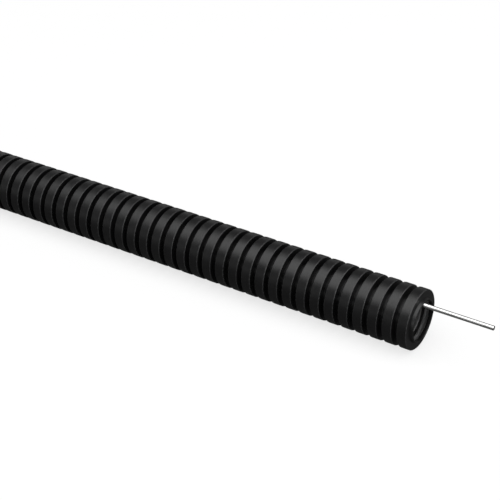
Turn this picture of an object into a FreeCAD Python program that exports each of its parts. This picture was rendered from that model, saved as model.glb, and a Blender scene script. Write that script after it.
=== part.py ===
import FreeCAD, Part
import Sketcher
import os

# Corrugated conduit with its pull wire, lying on the floor along X.
# The origin is on the floor, under the middle of the length.

# Driving dimensions, in millimetres.
driving_sizes = {
    "tube_length": 1000,
    "outer_diameter": 16,
    "bore_diameter": 10.7,
    "wall": 0.4,
    "wave_pitch": 4.115,
    "groove_mouth": 1.5,
    "groove_floor": 1.2,
    "crest_bevel": 0.3,
    "wire_diameter": 1.2,
    "wire_clearance": 0.1,
    "wire_reach": 18.6,
}

# Places worked out from the driving dimensions.
crest_radius = "Sizes.outer_diameter / 2"
bore_radius = "Sizes.bore_diameter / 2"
valley_radius = "Sizes.bore_diameter / 2 + Sizes.wall"
bevel_radius = "Sizes.outer_diameter / 2 - Sizes.crest_bevel"
hollow_radius = "Sizes.outer_diameter / 2 - Sizes.wall"
half_mouth = "Sizes.groove_mouth / 2"
half_floor = "Sizes.groove_floor / 2"
half_rim = "Sizes.groove_mouth / 2 + Sizes.crest_bevel"
wave_count = "floor(Sizes.tube_length / Sizes.wave_pitch)"
wave_start = f"(Sizes.tube_length - {wave_count} * Sizes.wave_pitch) / 2"
wave_end = f"{wave_start} + Sizes.wave_pitch"
wire_length = "Sizes.tube_length + 2 * Sizes.wire_reach"
wire_height = f"{crest_radius} + {bore_radius} - Sizes.wire_clearance - Sizes.wire_diameter / 2"


def make_sheet(doc):
    sheet = doc.addObject("Spreadsheet::Sheet", "Sizes")
    for row, (name, size) in enumerate(driving_sizes.items(), start=1):
        sheet.set(f"A{row}", name)
        sheet.set(f"B{row}", str(size))
        sheet.setAlias(f"B{row}", name)
    doc.recompute()


def origin_plane(body, role):
    return next(item for item in body.Origin.OriginFeatures if item.Role == role)


def new_profile(body, name):
    # A sketch in the XY plane: its first axis runs along the tube, its second one outwards.
    sketch = body.newObject("Sketcher::SketchObject", name)
    sketch.AttachmentSupport = (origin_plane(body, "XY_Plane"), [""])
    sketch.MapMode = "FlatFace"
    return sketch


def place_corner(sketch, edge, direction, place):
    # Ties one coordinate of an edge's first point to an expression.
    datum = sketch.addConstraint(
        Sketcher.Constraint(direction, -1, 1, edge, 1, sketch.evalExpression(place)))
    name = f"{direction}{edge}"
    sketch.renameConstraint(datum, name)
    sketch.setExpression(f"Constraints.{name}", place)


def add_outline(sketch, corners):
    # A closed outline of straight edges through corners given as pairs of expressions.
    points = [FreeCAD.Vector(sketch.evalExpression(along), sketch.evalExpression(outward), 0)
              for along, outward in corners]
    first = sketch.GeometryCount
    count = len(points)
    for number, point in enumerate(points):
        sketch.addGeometry(Part.LineSegment(point, points[(number + 1) % count]))
    for number, (along, outward) in enumerate(corners):
        edge = first + number
        following = first + (number + 1) % count
        sketch.addConstraint(Sketcher.Constraint("Coincident", edge, 2, following, 1))
        place_corner(sketch, edge, "DistanceY", outward)
        if along == "0":
            sketch.addConstraint(Sketcher.Constraint("PointOnObject", edge, 1, -2))
        else:
            place_corner(sketch, edge, "DistanceX", along)


def revolve(body, sketch, name):
    turned = body.newObject("PartDesign::Revolution", name)
    turned.Profile = sketch
    turned.ReferenceAxis = (sketch, ["H_Axis"])
    turned.Angle = 360
    return turned


def make_tube(doc):
    # One moulded wall of even thickness: a wave is turned about the axis and repeated
    # along it, and a plain stub of valley wall is left at each cut end.
    body = doc.addObject("PartDesign::Body", "corrugated_tube")
    body.Label = "corrugated_tube"
    body.setExpression("Placement.Base.x", "-Sizes.tube_length / 2")
    body.setExpression("Placement.Base.z", crest_radius)

    wave_outline = new_profile(body, "wave_outline")
    add_outline(wave_outline, [
        (wave_start, valley_radius),
        (f"{wave_start} + {half_floor}", valley_radius),
        (f"{wave_start} + {half_mouth}", bevel_radius),
        (f"{wave_start} + {half_rim}", crest_radius),
        (f"{wave_end} - ({half_rim})", crest_radius),
        (f"{wave_end} - {half_mouth}", bevel_radius),
        (f"{wave_end} - {half_floor}", valley_radius),
        (wave_end, valley_radius),
        (wave_end, bore_radius),
        (f"{wave_end} - {half_floor} - Sizes.wall", bore_radius),
        (f"{wave_end} - {half_mouth} - Sizes.wall", hollow_radius),
        (f"{wave_start} + {half_mouth} + Sizes.wall", hollow_radius),
        (f"{wave_start} + {half_floor} + Sizes.wall", bore_radius),
        (wave_start, bore_radius),
    ])
    wave = revolve(body, wave_outline, "wave")
    doc.recompute()

    waves = body.newObject("PartDesign::LinearPattern", "waves")
    waves.Originals = [wave]
    waves.Direction = (wave_outline, ["H_Axis"])
    waves.setExpression("Length", f"({wave_count} - 1) * Sizes.wave_pitch")
    waves.setExpression("Occurrences", wave_count)
    body.Tip = waves
    doc.recompute()

    stub_outline = new_profile(body, "stub_outline")
    near_stub = f"{wave_start} + {half_floor}"
    far_stub = f"Sizes.tube_length - ({near_stub})"
    for begin, end in (("0", near_stub), (far_stub, "Sizes.tube_length")):
        add_outline(stub_outline, [
            (begin, bore_radius),
            (end, bore_radius),
            (end, valley_radius),
            (begin, valley_radius),
        ])
    revolve(body, stub_outline, "stubs")
    doc.recompute()
    return body


def make_wire(doc):
    # A straight wire that lies along the top of the bore and stands out of both ends.
    wire = doc.addObject("Part::Cylinder", "pull_wire")
    wire.Label = "pull_wire"
    wire.setExpression("Radius", "Sizes.wire_diameter / 2")
    wire.setExpression("Height", wire_length)
    wire.Placement.Rotation = FreeCAD.Rotation(FreeCAD.Vector(0, 1, 0), 90)
    wire.setExpression("Placement.Base.x", f"-({wire_length}) / 2")
    wire.setExpression("Placement.Base.z", wire_height)
    doc.recompute()
    return wire


def check_document(doc, pieces):
    failed = [item.Label for item in doc.Objects
              if "Invalid" in item.State or "Error" in item.State]
    broken = [piece.Label for piece in pieces
              if piece.Shape.isNull() or not piece.Shape.isValid() or len(piece.Shape.Solids) != 1]
    if failed or broken:
        raise RuntimeError(f"failed features {failed}, broken pieces {broken}")


doc = FreeCAD.newDocument("corrugated_conduit")
make_sheet(doc)
pieces = [make_tube(doc), make_wire(doc)]
doc.recompute()
check_document(doc, pieces)

os.makedirs("parts", exist_ok=True)
for piece in pieces:
    piece.Shape.exportStep(f"parts/{piece.Label}.step")
    print(piece.Label, len(piece.Shape.Faces), "faces", round(piece.Shape.Volume, 2), "mm3")
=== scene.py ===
import math

import bpy
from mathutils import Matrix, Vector


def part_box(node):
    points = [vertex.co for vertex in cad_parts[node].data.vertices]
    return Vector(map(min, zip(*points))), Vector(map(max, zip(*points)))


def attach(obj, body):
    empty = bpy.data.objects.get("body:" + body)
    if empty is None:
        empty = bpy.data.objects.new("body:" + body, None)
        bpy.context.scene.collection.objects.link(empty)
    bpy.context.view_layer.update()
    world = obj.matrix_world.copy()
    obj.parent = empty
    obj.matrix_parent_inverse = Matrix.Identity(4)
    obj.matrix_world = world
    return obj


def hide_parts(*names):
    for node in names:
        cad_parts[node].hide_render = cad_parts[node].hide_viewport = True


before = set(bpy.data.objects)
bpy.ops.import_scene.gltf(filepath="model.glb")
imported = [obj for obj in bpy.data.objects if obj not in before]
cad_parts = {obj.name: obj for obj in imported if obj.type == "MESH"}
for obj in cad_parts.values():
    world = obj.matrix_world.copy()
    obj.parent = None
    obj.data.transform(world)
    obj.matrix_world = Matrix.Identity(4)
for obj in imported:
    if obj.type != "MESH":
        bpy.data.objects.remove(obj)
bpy.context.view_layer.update()        # the CAD nodes, at rest

tubeLow, tubeHigh = (Vector(corner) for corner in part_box("corrugated_tube"))
wireLow, wireHigh = (Vector(corner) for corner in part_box("pull_wire"))
tubeLength = tubeHigh.x - tubeLow.x
crestRadius = (tubeHigh.y - tubeLow.y) / 2
axisHeight = (tubeLow.z + tubeHigh.z) / 2       # of the conduit over the floor
print("frame loaded, tube", round(tubeLength, 4), "m long")


# small helpers

def deselectAll():
    bpy.ops.object.select_all(action="DESELECT")


def startPiece(name):
    piece = bpy.context.active_object
    piece.name = name
    piece.data.name = name
    return piece


def selectVerts(piece, test):
    # selects the vertices whose place passes the test, and what lies between them
    bpy.ops.object.mode_set(mode="OBJECT")
    for poly in piece.data.polygons:
        poly.select = False
    for edge in piece.data.edges:
        edge.select = False
    for vert in piece.data.vertices:
        vert.select = test(vert.co)
    bpy.ops.object.mode_set(mode="EDIT")
    bpy.ops.mesh.select_mode(type="VERT")


def markSharp(piece, test):
    # keeps a hard edge between the smooth faces on both sides of every edge that passes
    bpy.ops.object.mode_set(mode="EDIT")
    bpy.ops.mesh.select_mode(type="EDGE")
    bpy.ops.mesh.select_all(action="DESELECT")
    bpy.ops.object.mode_set(mode="OBJECT")
    verts = piece.data.vertices
    for edge in piece.data.edges:
        first, second = edge.vertices
        edge.select = test(verts[first].co, verts[second].co)
    bpy.ops.object.mode_set(mode="EDIT")
    bpy.ops.mesh.mark_sharp()
    bpy.ops.object.mode_set(mode="OBJECT")


def applyAll(piece):
    for modifier in list(piece.modifiers):
        bpy.ops.object.modifier_apply(modifier=modifier.name)


# the conduit's wall: a wave is drawn out ring by ring and repeated, with a rounder inner
# skin in the waves at both ends, where one can look in

conduitWall = {
    "sides": 36,                # corners round the tube
    "pitch": 0.004115,
    "boreRadius": 0.00535,
    "wallThickness": 0.0004,
    "grooveMouth": 0.0015,
    "grooveFloor": 0.00142,
    "crestEdge": 0.00014,       # how far the crest's chamfered edge, painted as a highlight line, reaches along each face
    "cutEdge": 0.00008,         # softened edge of the cut ends
    "stubRise": 0.00016,        # how far a cut end's stub swells up to the last wave
    "openWaves": 6,             # waves at each end with the rounder inner skin
    "hollowRounding": 0.0005,   # corner inside a crest
    "lipRounding": 0.00035,     # corner between a hollow and the bore
    "innerSteps": 2,            # steps in each of those two corners
    "smoothAngle": 50,          # degrees, past which an edge stays hard
}
nearby = 5e-6                   # how far off a ring may be: the long rows of waves drift
welded = 1e-6                   # points about this close become one
waveCount = math.floor(tubeLength / conduitWall["pitch"])


def outerOutline():
    # half a wave's outside, from a groove's floor to the crest, as (place along, radius)
    valley = conduitWall["boreRadius"] + conduitWall["wallThickness"]
    halfFloor = conduitWall["grooveFloor"] / 2
    halfMouth = conduitWall["grooveMouth"] / 2
    crestEdge = conduitWall["crestEdge"]
    lean = (halfMouth - halfFloor) / (crestRadius - valley)
    return [
        (halfFloor, valley),
        (halfMouth - lean * crestEdge, crestRadius - crestEdge),
        (halfMouth + crestEdge, crestRadius),
    ]


def innerOutline(rounded):
    # half a wave's inside, a wall thickness behind the outside
    wall = conduitWall["wallThickness"]
    bore = conduitWall["boreRadius"]
    hollow = crestRadius - wall
    foot = conduitWall["grooveFloor"] / 2 + wall
    top = conduitWall["grooveMouth"] / 2 + wall
    if not rounded:
        return [(foot, bore), (top, hollow)]
    lean = math.atan2(top - foot, hollow - bore)
    lip = roundCorner(foot, bore, conduitWall["lipRounding"], lean, 1)
    return lip + roundCorner(top, hollow, conduitWall["hollowRounding"], lean, -1)


def roundCorner(along, radius, rounding, lean, outwards):
    # points of the arc that rounds a corner between a level stretch and a leaning flank
    turn = math.pi / 2 - lean
    reach = rounding * math.tan(turn / 2)
    centre = along - outwards * reach
    steps = conduitWall["innerSteps"]
    points = [(centre + outwards * rounding * math.sin(turn * step / steps),
               radius + outwards * rounding * (1 - math.cos(turn * step / steps)))
              for step in range(steps + 1)]
    return points if outwards > 0 else points[::-1]


def wholeWave(half):
    # mirrors the half wave, and reaches over the next groove's floor to the next wave
    pitch = conduitWall["pitch"]
    otherHalf = [(pitch - along, radius) for along, radius in reversed(half)]
    return half + otherHalf + [(pitch + half[0][0], half[0][1])]


def drawRings(outline, start):
    # a ring is added at the outline's first point and extruded through the others
    along, radius = outline[0]
    centre = Vector((start + along, 0, axisHeight))
    bpy.ops.mesh.select_all(action="DESELECT")
    bpy.ops.mesh.primitive_circle_add(vertices=conduitWall["sides"], radius=radius,
                                      fill_type="NOTHING", location=centre,
                                      rotation=(0, math.pi / 2, 0))
    bpy.ops.transform.rotate(value=math.pi / conduitWall["sides"], orient_axis="X",
                             center_override=centre)
    for nextAlong, nextRadius in outline[1:]:
        bpy.ops.mesh.extrude_edges_move(
            TRANSFORM_OT_translate={"value": (nextAlong - along, 0, 0)})
        scale = nextRadius / radius
        centre = Vector((start + nextAlong, 0, axisHeight))
        if scale != 1:
            bpy.ops.transform.resize(value=(1, scale, scale), center_override=centre)
        along, radius = nextAlong, nextRadius


def drawSkin(outline, start, count):
    # one wave of a skin, repeated along the tube
    deselectAll()
    bpy.ops.mesh.primitive_circle_add(location=(0, 0, 0))
    skin = startPiece("skin")
    bpy.ops.object.mode_set(mode="EDIT")
    bpy.ops.mesh.select_all(action="SELECT")
    bpy.ops.mesh.delete(type="VERT")    # the rings are drawn in the emptied mesh
    drawRings(outline, start)
    bpy.ops.object.mode_set(mode="OBJECT")
    waves = skin.modifiers.new("waves", "ARRAY")
    waves.count = count
    waves.use_relative_offset = False
    waves.use_constant_offset = True
    waves.constant_offset_displace = (conduitWall["pitch"], 0, 0)
    waves.use_merge_vertices = True
    waves.merge_threshold = 2 * welded
    applyAll(skin)
    return skin


def trimStrayFloor(waveEnd):
    # takes off the groove floor that a skin's last wave reaches out over its end
    skin = bpy.context.active_object
    selectVerts(skin, lambda place: place.x > waveEnd + welded)
    bpy.ops.mesh.delete(type="VERT")
    bpy.ops.object.mode_set(mode="OBJECT")


def joinSkins(skins):
    deselectAll()
    for skin in skins:
        skin.select_set(True)
    bpy.context.view_layer.objects.active = skins[0]
    bpy.ops.object.join()
    return startPiece("conduitWall")


def drawSpan(piece, first, second, radius):
    # a plain stretch of skin between the open rings at two places along the tube
    def onRing(place):
        offAxis = math.hypot(place.y, place.z - axisHeight)
        offRing = min(abs(place.x - first), abs(place.x - second))
        return offRing < nearby and abs(offAxis - radius) < nearby
    selectVerts(piece, onRing)
    bpy.ops.mesh.bridge_edge_loops()


def closeEnd(piece, side, waveEnd, feet):
    # draws both skins out to the cut, and the outer one over the cut's face to the inner
    # one: feet are the ends of the last wave's two outlines, the outer one first
    cutPlace = (side * tubeLength / 2, 0, axisHeight)
    cutEdge = conduitWall["cutEdge"]
    rises = (conduitWall["stubRise"], 0)
    for (along, radius), rise, inwards in zip(feet, rises, (-cutEdge, cutEdge)):
        foot = waveEnd - side * along

        def onRing(place):
            offAxis = math.hypot(place.y, place.z - axisHeight)
            return abs(place.x - foot) < nearby and abs(offAxis - radius) < nearby
        selectVerts(piece, onRing)
        swell = (radius + rise) / radius
        bpy.ops.transform.resize(value=(1, swell, swell), center_override=(foot, 0, axisHeight))
        reach = tubeLength / 2 - abs(foot)
        bpy.ops.mesh.extrude_edges_move(
            TRANSFORM_OT_translate={"value": (side * (reach - cutEdge), 0, 0)})
        bpy.ops.transform.resize(value=(1, 1 / swell, 1 / swell),
                                 center_override=(foot, 0, axisHeight))
        bpy.ops.mesh.extrude_edges_move(
            TRANSFORM_OT_translate={"value": (side * cutEdge, 0, 0)})
        scale = (radius + inwards) / radius
        bpy.ops.transform.resize(value=(0, scale, scale), center_override=cutPlace)
        if inwards < 0:
            # this ring is merged with the inner skin's last one later on
            bpy.ops.mesh.extrude_edges_move()
            scale = (feet[1][1] + cutEdge) / (radius - cutEdge)
            bpy.ops.transform.resize(value=(0, scale, scale), center_override=cutPlace)


def onCrestEdge(first, second):
    # the rings on both sides of a crest's chamfered edge
    lowest = crestRadius - conduitWall["crestEdge"] - welded
    offAxis = math.hypot(first.y, first.z - axisHeight)
    return offAxis > lowest and abs(first.x - second.x) < welded


def makeConduitWall():
    pitch = conduitWall["pitch"]
    openWaves = conduitWall["openWaves"]
    start = -waveCount * pitch / 2
    openStart = start + openWaves * pitch
    outside = outerOutline()
    plainInside, roundInside = innerOutline(False), innerOutline(True)
    runs = (
        (outside, start, waveCount),
        (roundInside, start, openWaves),
        (plainInside, openStart, waveCount - 2 * openWaves),
        (roundInside, -openStart, openWaves),
    )
    skins = []
    for half, runStart, runCount in runs:
        skins.append(drawSkin(wholeWave(half), runStart, runCount))
        trimStrayFloor(runStart + runCount * pitch)
    piece = joinSkins(skins)
    for middle, side in ((openStart, 1), (-openStart, -1)):
        drawSpan(piece, middle - side * roundInside[0][0], middle + side * plainInside[0][0],
                 conduitWall["boreRadius"])
    for side in (-1, 1):
        closeEnd(piece, side, side * -start, (outside[0], roundInside[0]))
    bpy.ops.mesh.select_all(action="SELECT")
    bpy.ops.mesh.remove_doubles(threshold=welded)
    bpy.ops.mesh.normals_make_consistent(inside=False)
    bpy.ops.object.mode_set(mode="OBJECT")
    bpy.ops.object.shade_smooth_by_angle(angle=math.radians(conduitWall["smoothAngle"]))
    markSharp(piece, onCrestEdge)
    weighted = piece.modifiers.new("evenShading", "WEIGHTED_NORMAL")
    weighted.keep_sharp = True
    applyAll(piece)
    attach(piece, "root")
    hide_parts("corrugated_tube")
    print("conduit wall made,", waveCount, "waves,", 2 * len(piece.data.polygons), "triangles")
    return piece


# the pull wire: a straight drawn wire with its cut ends softened

pullWire = {
    "sides": 24,                # corners round the wire
    "cutEdge": 0.00008,         # softened edge of the cut ends
    "cutSteps": 2,
    "smoothAngle": 40,
}


def makePullWire():
    centre = (wireLow + wireHigh) / 2
    length = wireHigh.x - wireLow.x
    radius = (wireHigh.y - wireLow.y) / 2
    deselectAll()
    bpy.ops.mesh.primitive_cylinder_add(vertices=pullWire["sides"], radius=radius, depth=length,
                                        location=centre, rotation=(0, math.pi / 2, 0))
    piece = startPiece("pullWire")
    bpy.ops.object.transform_apply(location=True, rotation=True, scale=True)
    for side in (-1, 1):
        selectVerts(piece, lambda place: place.x * side > length / 2 - nearby)
        bpy.ops.mesh.bevel(offset=pullWire["cutEdge"], segments=pullWire["cutSteps"],
                           affect="EDGES")
    bpy.ops.mesh.select_all(action="SELECT")
    bpy.ops.mesh.normals_make_consistent(inside=False)
    bpy.ops.object.mode_set(mode="OBJECT")
    bpy.ops.object.shade_smooth_by_angle(angle=math.radians(pullWire["smoothAngle"]))
    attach(piece, "root")
    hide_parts("pull_wire")
    print("pull wire made,", len(piece.data.polygons), "faces")
    return piece


# materials

millimetre = 0.001              # object coordinates are in metres

blackPlastic = {
    "colour": (0.0055, 0.0055, 0.0057, 1),
    "paleColour": (0.008, 0.008, 0.0082, 1),    # where handling has dulled it
    "paintedEdgeHighlightColour": (0.04, 0.04, 0.041, 1),       # painted highlight line on the crest edges
    "paintedLightHollowColour": (0.18, 0.18, 0.18, 1),      # painted light inside the waves' hollows
    "paintedLightBoreColour": (0.1, 0.1, 0.1, 1),           # painted light inside the ridges between them
    "edgeFade": (1.05, 1.4),    # from where to where the painted edge highlight fades, in crest edges
    "roughness": 0.33,
    "dullRoughness": 0.37,
    "grooveGloss": 0.07,        # how much less rough the grooves are, where nothing rubs
    "grooveStart": 1.2,         # how far below the crest that starts, in crest edges
    "grainPerMillimetre": 3.2,
    "blotchPerMillimetre": 0.12,
    "grainDepth": 0.000012,
}

steelFinish = {
    "colour": (0.88, 0.88, 0.875, 1),
    "darkColour": (0.7, 0.7, 0.69, 1),
    "roughness": 0.18,
    "dullRoughness": 0.28,
    "linesPerMillimetre": 9,
    "blotchPerMillimetre": 2.25,
    "lineStretch": 0.02,        # drawing lines run along the wire
    "lineDepth": 0.000006,
}

grainNoise = {
    "grainDetail": 3,
    "grainRoughness": 0.6,
    "blotchDetail": 4,
    "wornFrom": 0.35,           # the blotches' noise, from a fresh surface
    "wornTo": 0.7,              # to a fully worn one
}


def newMaterial(name):
    material = bpy.data.materials.new(name)
    material.use_nodes = True
    nodes = material.node_tree.nodes
    nodes.clear()
    output = nodes.new("ShaderNodeOutputMaterial")
    shader = nodes.new("ShaderNodeBsdfPrincipled")
    material.node_tree.links.new(shader.outputs["BSDF"], output.inputs["Surface"])
    return material, shader


def newGroup(name, ports):
    group = bpy.data.node_groups.new(name, "ShaderNodeTree")
    for way, port, kind in ports:
        group.interface.new_socket(name=port, in_out=way, socket_type=kind)
    given = group.nodes.new("NodeGroupInput")
    result = group.nodes.new("NodeGroupOutput")
    return group, given, result


def addMath(tree, operation, *values):
    # a math node whose inputs are numbers or other nodes' outputs
    node = tree.nodes.new("ShaderNodeMath")
    node.operation = operation
    for socket, value in zip(node.inputs, values):
        if isinstance(value, (int, float)):
            socket.default_value = value
        else:
            tree.links.new(value, socket)
    return node.outputs["Value"]


def allAbove(tree, first, *others):
    # a mask that is 1 where all the values are above 0
    least = first
    for other in others:
        least = addMath(tree, "MINIMUM", least, other)
    return addMath(tree, "GREATER_THAN", least, 0)


def makeUnevenGrain():
    # fine grain with slow blotches over it, for any surface: it takes a place and gives
    # a grain height, a colour and a roughness
    ports = (
        ("INPUT", "Place", "NodeSocketVector"),
        ("INPUT", "Grain Scale", "NodeSocketFloat"),
        ("INPUT", "Blotch Scale", "NodeSocketFloat"),
        ("INPUT", "Colour", "NodeSocketColor"),
        ("INPUT", "Worn Colour", "NodeSocketColor"),
        ("INPUT", "Roughness", "NodeSocketFloat"),
        ("INPUT", "Worn Roughness", "NodeSocketFloat"),
        ("OUTPUT", "Grain", "NodeSocketFloat"),
        ("OUTPUT", "Colour", "NodeSocketColor"),
        ("OUTPUT", "Roughness", "NodeSocketFloat"),
    )
    group, given, result = newGroup("unevenGrain", ports)
    nodes, links = group.nodes, group.links
    grain = nodes.new("ShaderNodeTexNoise")
    grain.inputs["Detail"].default_value = grainNoise["grainDetail"]
    grain.inputs["Roughness"].default_value = grainNoise["grainRoughness"]
    blotches = nodes.new("ShaderNodeTexNoise")
    blotches.inputs["Detail"].default_value = grainNoise["blotchDetail"]
    worn = nodes.new("ShaderNodeMapRange")
    worn.inputs["From Min"].default_value = grainNoise["wornFrom"]
    worn.inputs["From Max"].default_value = grainNoise["wornTo"]
    tint = nodes.new("ShaderNodeMix")
    tint.data_type = "RGBA"
    gloss = nodes.new("ShaderNodeMapRange")
    links.new(given.outputs["Place"], grain.inputs["Vector"])
    links.new(given.outputs["Grain Scale"], grain.inputs["Scale"])
    links.new(given.outputs["Place"], blotches.inputs["Vector"])
    links.new(given.outputs["Blotch Scale"], blotches.inputs["Scale"])
    links.new(blotches.outputs["Fac"], worn.inputs["Value"])
    links.new(worn.outputs["Result"], tint.inputs["Factor"])
    links.new(given.outputs["Colour"], tint.inputs["A"])
    links.new(given.outputs["Worn Colour"], tint.inputs["B"])
    links.new(worn.outputs["Result"], gloss.inputs["Value"])
    links.new(given.outputs["Roughness"], gloss.inputs["To Min"])
    links.new(given.outputs["Worn Roughness"], gloss.inputs["To Max"])
    links.new(grain.outputs["Fac"], result.inputs["Grain"])
    links.new(tint.outputs["Result"], result.inputs["Colour"])
    links.new(gloss.outputs["Result"], result.inputs["Roughness"])
    return group


def makeWaveZones():
    # from a place on the conduit: masks of the crests' edges, where a highlight is painted, the
    # grooves between them, and the inner skin in the waves' hollows and on the ridges, where
    # light is painted in
    ports = (
        ("INPUT", "Place", "NodeSocketVector"),
        ("OUTPUT", "Edge", "NodeSocketFloat"),
        ("OUTPUT", "Groove", "NodeSocketFloat"),
        ("OUTPUT", "Hollow", "NodeSocketFloat"),
        ("OUTPUT", "Bore", "NodeSocketFloat"),
    )
    group, given, result = newGroup("waveZones", ports)
    pitch = conduitWall["pitch"]
    wall = conduitWall["wallThickness"]
    crestEdge = conduitWall["crestEdge"]
    halfMouth = conduitWall["grooveMouth"] / 2

    # the place's radius, its depth below the crests and its distance from a groove's middle
    split = group.nodes.new("ShaderNodeSeparateXYZ")
    group.links.new(given.outputs["Place"], split.inputs["Vector"])
    height = addMath(group, "SUBTRACT", split.outputs["Z"], axisHeight)
    across = addMath(group, "MULTIPLY", split.outputs["Y"], split.outputs["Y"])
    square = addMath(group, "MULTIPLY_ADD", height, height, across)
    radius = addMath(group, "SQRT", square)
    belowCrest = addMath(group, "SUBTRACT", crestRadius, radius)
    fromStart = addMath(group, "ADD", split.outputs["X"], waveCount * pitch / 2)
    offGroove = addMath(group, "PINGPONG", fromStart, pitch / 2)

    # the crests' edges, painted paler as a highlight line
    pastMouth = addMath(group, "ABSOLUTE", addMath(group, "SUBTRACT", offGroove, halfMouth))
    edge = group.nodes.new("ShaderNodeMapRange")
    fadeFrom, fadeTo = blackPlastic["edgeFade"]
    group.links.new(addMath(group, "ADD", pastMouth, belowCrest), edge.inputs["Value"])
    edge.inputs["From Min"].default_value = crestEdge * fadeFrom
    edge.inputs["From Max"].default_value = crestEdge * fadeTo
    edge.inputs["To Min"].default_value = 1
    edge.inputs["To Max"].default_value = 0
    group.links.new(edge.outputs["Result"], result.inputs["Edge"])

    # the grooves' floors and flanks, but for the cut ends' stubs
    fromCut = addMath(group, "SUBTRACT", tubeLength / 2 - pitch / 2,
                      addMath(group, "ABSOLUTE", split.outputs["X"]))
    inGroove = addMath(group, "SUBTRACT", halfMouth + wall / 4, offGroove)
    offBore = addMath(group, "SUBTRACT", radius, conduitWall["boreRadius"] + wall / 2)
    pastEdge = addMath(group, "SUBTRACT", belowCrest, crestEdge * blackPlastic["grooveStart"])
    group.links.new(allAbove(group, fromCut, inGroove, offBore, pastEdge),
                    result.inputs["Groove"])

    # the inner skin but for its flanks and the cut ends' stubs, painted lighter as light in the
    # hollows and on the ridges
    rounding = conduitWall["hollowRounding"]
    fromFlank = addMath(group, "SUBTRACT", offGroove, conduitWall["grooveFloor"] / 2 + wall / 2)
    belowSkin = addMath(group, "SUBTRACT", crestRadius - wall / 2, radius)
    intoHollow = addMath(group, "SUBTRACT", radius, crestRadius - wall - rounding)
    group.links.new(allAbove(group, fromFlank, belowSkin, intoHollow), result.inputs["Hollow"])
    # the ridges' inner skin, where light is painted in too
    fromBore = addMath(group, "SUBTRACT", conduitWall["boreRadius"] + wall / 4, radius)
    group.links.new(allAbove(group, fromBore, fromCut), result.inputs["Bore"])
    return group


def placeGrain(material, shader, group, values, stretch, depth):
    # puts the grain group in a material with the material's own values, its grain as bump
    nodes, links = material.node_tree.nodes, material.node_tree.links
    place = nodes.new("ShaderNodeTexCoord")
    mapping = nodes.new("ShaderNodeMapping")
    mapping.inputs["Scale"].default_value = stretch
    grain = nodes.new("ShaderNodeGroup")
    grain.node_tree = group
    for name, value in values.items():
        grain.inputs[name].default_value = value
    bump = nodes.new("ShaderNodeBump")
    bump.inputs["Distance"].default_value = depth
    links.new(place.outputs["Object"], mapping.inputs["Vector"])
    links.new(mapping.outputs["Vector"], grain.inputs["Place"])
    links.new(grain.outputs["Grain"], bump.inputs["Height"])
    links.new(bump.outputs["Normal"], shader.inputs["Normal"])
    return grain, place


def mixColour(material, mask, under, over):
    mix = material.node_tree.nodes.new("ShaderNodeMix")
    mix.data_type = "RGBA"
    material.node_tree.links.new(mask, mix.inputs["Factor"])
    material.node_tree.links.new(under, mix.inputs["A"])
    mix.inputs["B"].default_value = over
    return mix.outputs["Result"]


def makeBlackPlastic(group, waveZones):
    material, shader = newMaterial("blackPlastic")
    nodes, links = material.node_tree.nodes, material.node_tree.links
    values = {
        "Grain Scale": blackPlastic["grainPerMillimetre"] / millimetre,
        "Blotch Scale": blackPlastic["blotchPerMillimetre"] / millimetre,
        "Colour": blackPlastic["colour"],
        "Worn Colour": blackPlastic["paleColour"],
        "Roughness": blackPlastic["roughness"],
        "Worn Roughness": blackPlastic["dullRoughness"],
    }
    grain, place = placeGrain(material, shader, group, values, (1, 1, 1),
                              blackPlastic["grainDepth"])
    zones = nodes.new("ShaderNodeGroup")
    zones.node_tree = waveZones
    links.new(place.outputs["Object"], zones.inputs["Place"])
    # paler colours painted by zone: a highlight line on the crest edges, and light inside the
    # hollows and on the ridges
    zoneColours = (("Edge", "paintedEdgeHighlightColour"), ("Hollow", "paintedLightHollowColour"), ("Bore", "paintedLightBoreColour"))
    colour = grain.outputs["Colour"]
    for zone, name in zoneColours:
        colour = mixColour(material, zones.outputs[zone], colour, blackPlastic[name])
    links.new(colour, shader.inputs["Base Color"])
    roughness = addMath(material.node_tree, "MULTIPLY_ADD", zones.outputs["Groove"],
                        -blackPlastic["grooveGloss"], grain.outputs["Roughness"])
    links.new(roughness, shader.inputs["Roughness"])
    return material


def makeSteelFinish(group):
    material, shader = newMaterial("steelFinish")
    links = material.node_tree.links
    shader.inputs["Metallic"].default_value = 1
    values = {
        "Grain Scale": steelFinish["linesPerMillimetre"] / millimetre,
        "Blotch Scale": steelFinish["blotchPerMillimetre"] / millimetre,
        "Colour": steelFinish["colour"],
        "Worn Colour": steelFinish["darkColour"],
        "Roughness": steelFinish["roughness"],
        "Worn Roughness": steelFinish["dullRoughness"],
    }
    stretch = (steelFinish["lineStretch"], 1, 1)
    grain, _ = placeGrain(material, shader, group, values, stretch, steelFinish["lineDepth"])
    links.new(grain.outputs["Colour"], shader.inputs["Base Color"])
    links.new(grain.outputs["Roughness"], shader.inputs["Roughness"])
    return material


# floor, lights and camera

paleFloor = {
    "size": 8.0,
    "colour": (0.25, 0.25, 0.25, 1),    # carries the shadow
    "mirroredColour": (0.03, 0.03, 0.03, 1),
    "whiteness": 0.75,          # strength that the camera sees on top of it
    "nearReach": 0.7,           # how far from the part's middle that strength holds
    "farReach": 1.6,            # where it has grown to full white, past the lamps' reach
    "mirroredShare": 0.065,     # how much of the whiteness shows in gloss
}

keyLight = {
    "place": (0.65, -0.75, 2.0),
    "size": (3.5, 3.5),
    "power": 64,
}

sideLight = {
    "place": (2.4, 0.3, 0.75),
    "size": (3.0, 1.5),
    "power": 22,
}

frontLight = {
    "place": (1.15, -1.2, 0.2),
    "size": (0.9, 0.5),
    "power": 2.2,
}

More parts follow.
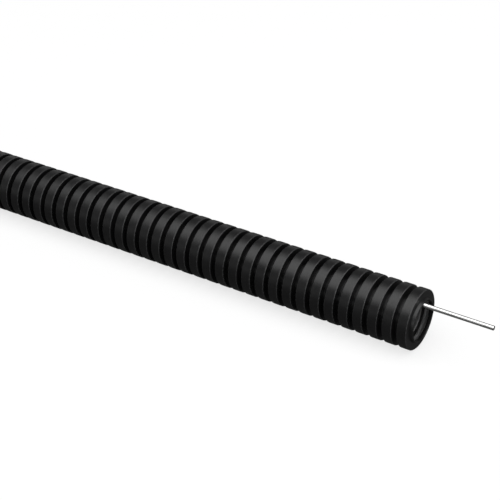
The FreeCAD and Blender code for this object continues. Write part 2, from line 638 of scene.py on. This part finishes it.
studioWorld = {
    "overhead": 0.06,
    "horizon": 0.33,
    "bandHeight": 0.5,          # how high the lighter band by the horizon reaches
    "leftward": 1.6,            # how much brighter the world is towards -X
    "leftReach": (-0.7, -0.3),  # from where it is fully so to where it no longer is
}

photoCamera = {
    "azimuth": 32.515,
    "elevation": 31.172,
    "distance": 0.34781,
    "target": (0.45872, -0.01514, 0.02288),
    "lens": 100.914,
    "sensor": 36,
    "clipStart": 0.01,
}


def mirroredMask(tree, rays):
    # 1 for what gloss and glass show
    return addMath(tree, "ADD", rays.outputs["Is Glossy Ray"],
                   rays.outputs["Is Transmission Ray"])


def seenShare(tree, rays):
    # 1 for what the camera sees, and the mirrored share for what gloss and glass show
    return addMath(tree, "MULTIPLY_ADD", mirroredMask(tree, rays), paleFloor["mirroredShare"],
                   rays.outputs["Is Camera Ray"])


def makeFloor():
    # white for the camera and fainter in gloss, and the lamps put the object's shadow on it
    deselectAll()
    bpy.ops.mesh.primitive_plane_add(size=paleFloor["size"], location=(0, 0, 0))
    floor = startPiece("floor")
    material, shader = newMaterial("paleFloor")
    tree = material.node_tree
    nodes, links = tree.nodes, tree.links
    shader.inputs["Roughness"].default_value = 1
    shader.inputs["Specular IOR Level"].default_value = 0
    shader.inputs["Emission Color"].default_value = (1, 1, 1, 1)
    rays = nodes.new("ShaderNodeLightPath")
    tint = nodes.new("ShaderNodeMix")
    tint.data_type = "RGBA"
    tint.inputs["A"].default_value = paleFloor["colour"]
    tint.inputs["B"].default_value = paleFloor["mirroredColour"]
    links.new(mirroredMask(tree, rays), tint.inputs["Factor"])
    links.new(tint.outputs["Result"], shader.inputs["Base Color"])
    place = nodes.new("ShaderNodeTexCoord")
    distance = nodes.new("ShaderNodeVectorMath")
    distance.operation = "LENGTH"
    links.new(place.outputs["Object"], distance.inputs[0])
    whiteness = nodes.new("ShaderNodeMapRange")
    whiteness.inputs["From Min"].default_value = paleFloor["nearReach"]
    whiteness.inputs["From Max"].default_value = paleFloor["farReach"]
    whiteness.inputs["To Min"].default_value = paleFloor["whiteness"]
    links.new(distance.outputs["Value"], whiteness.inputs["Value"])
    glow = addMath(tree, "MULTIPLY", seenShare(tree, rays), whiteness.outputs["Result"])
    links.new(glow, shader.inputs["Emission Strength"])
    floor.data.materials.append(material)


def makeWorld():
    # dim overhead and lighter by the horizon, and white where the camera sees it
    world = bpy.data.worlds.new("studio")
    world.use_nodes = True
    tree = world.node_tree
    place = tree.nodes.new("ShaderNodeTexCoord")
    split = tree.nodes.new("ShaderNodeSeparateXYZ")
    tree.links.new(place.outputs["Generated"], split.inputs["Vector"])
    band = tree.nodes.new("ShaderNodeMapRange")
    band.interpolation_type = "SMOOTHSTEP"
    band.inputs["From Max"].default_value = studioWorld["bandHeight"]
    band.inputs["To Min"].default_value = studioWorld["horizon"]
    band.inputs["To Max"].default_value = studioWorld["overhead"]
    tree.links.new(split.outputs["Z"], band.inputs["Value"])
    side = tree.nodes.new("ShaderNodeMapRange")
    side.inputs["From Min"].default_value = studioWorld["leftReach"][0]
    side.inputs["From Max"].default_value = studioWorld["leftReach"][1]
    side.inputs["To Min"].default_value = studioWorld["leftward"]
    side.inputs["To Max"].default_value = 1
    tree.links.new(split.outputs["X"], side.inputs["Value"])
    glow = addMath(tree, "MULTIPLY", band.outputs["Result"], side.outputs["Result"])
    rays = tree.nodes.new("ShaderNodeLightPath")
    level = addMath(tree, "MAXIMUM", glow, seenShare(tree, rays))
    background = tree.nodes["Background"]
    background.inputs["Color"].default_value = (1, 1, 1, 1)
    tree.links.new(level, background.inputs["Strength"])
    bpy.context.scene.world = world


def makeLamp(name, shape, light, target):
    # a soft lamp that faces the target
    lamp = bpy.data.lights.new(name, "AREA")
    lamp.shape = shape
    lamp.size, lamp.size_y = light["size"]
    lamp.energy = light["power"]
    holder = bpy.data.objects.new(name, lamp)
    place = Vector(light["place"])
    holder.location = place
    holder.rotation_mode = "QUATERNION"
    holder.rotation_quaternion = (Vector(target) - place).to_track_quat("-Z", "Y")
    holder.visible_camera = False   # the camera looks past the lamps
    bpy.context.scene.collection.objects.link(holder)


def makeLights():
    below = (keyLight["place"][0], keyLight["place"][1], 0)
    openEnd = (tubeLength / 2, 0, axisHeight)
    makeLamp("keyLight", "DISK", keyLight, below)
    makeLamp("sideLight", "RECTANGLE", sideLight, openEnd)
    makeLamp("frontLight", "RECTANGLE", frontLight, openEnd)


def makeCamera():
    azimuth = math.radians(photoCamera["azimuth"])
    elevation = math.radians(photoCamera["elevation"])
    back = Vector((math.sin(azimuth) * math.cos(elevation),
                   -math.cos(azimuth) * math.cos(elevation), math.sin(elevation)))
    camera = bpy.data.cameras.new("photoCamera")
    camera.lens = photoCamera["lens"]
    camera.sensor_width = photoCamera["sensor"]
    camera.clip_start = photoCamera["clipStart"]
    holder = bpy.data.objects.new("photoCamera", camera)
    holder.location = Vector(photoCamera["target"]) + back * photoCamera["distance"]
    holder.rotation_mode = "QUATERNION"
    holder.rotation_quaternion = (-back).to_track_quat("-Z", "Y")
    bpy.context.scene.collection.objects.link(holder)
    bpy.context.scene.camera = holder


wall = makeConduitWall()
wire = makePullWire()
unevenGrain = makeUnevenGrain()
wall.data.materials.append(makeBlackPlastic(unevenGrain, makeWaveZones()))
wire.data.materials.append(makeSteelFinish(unevenGrain))
makeFloor()
makeWorld()
makeLights()
makeCamera()
bpy.context.scene.view_settings.view_transform = "Standard"
print("materials, lights and camera set")
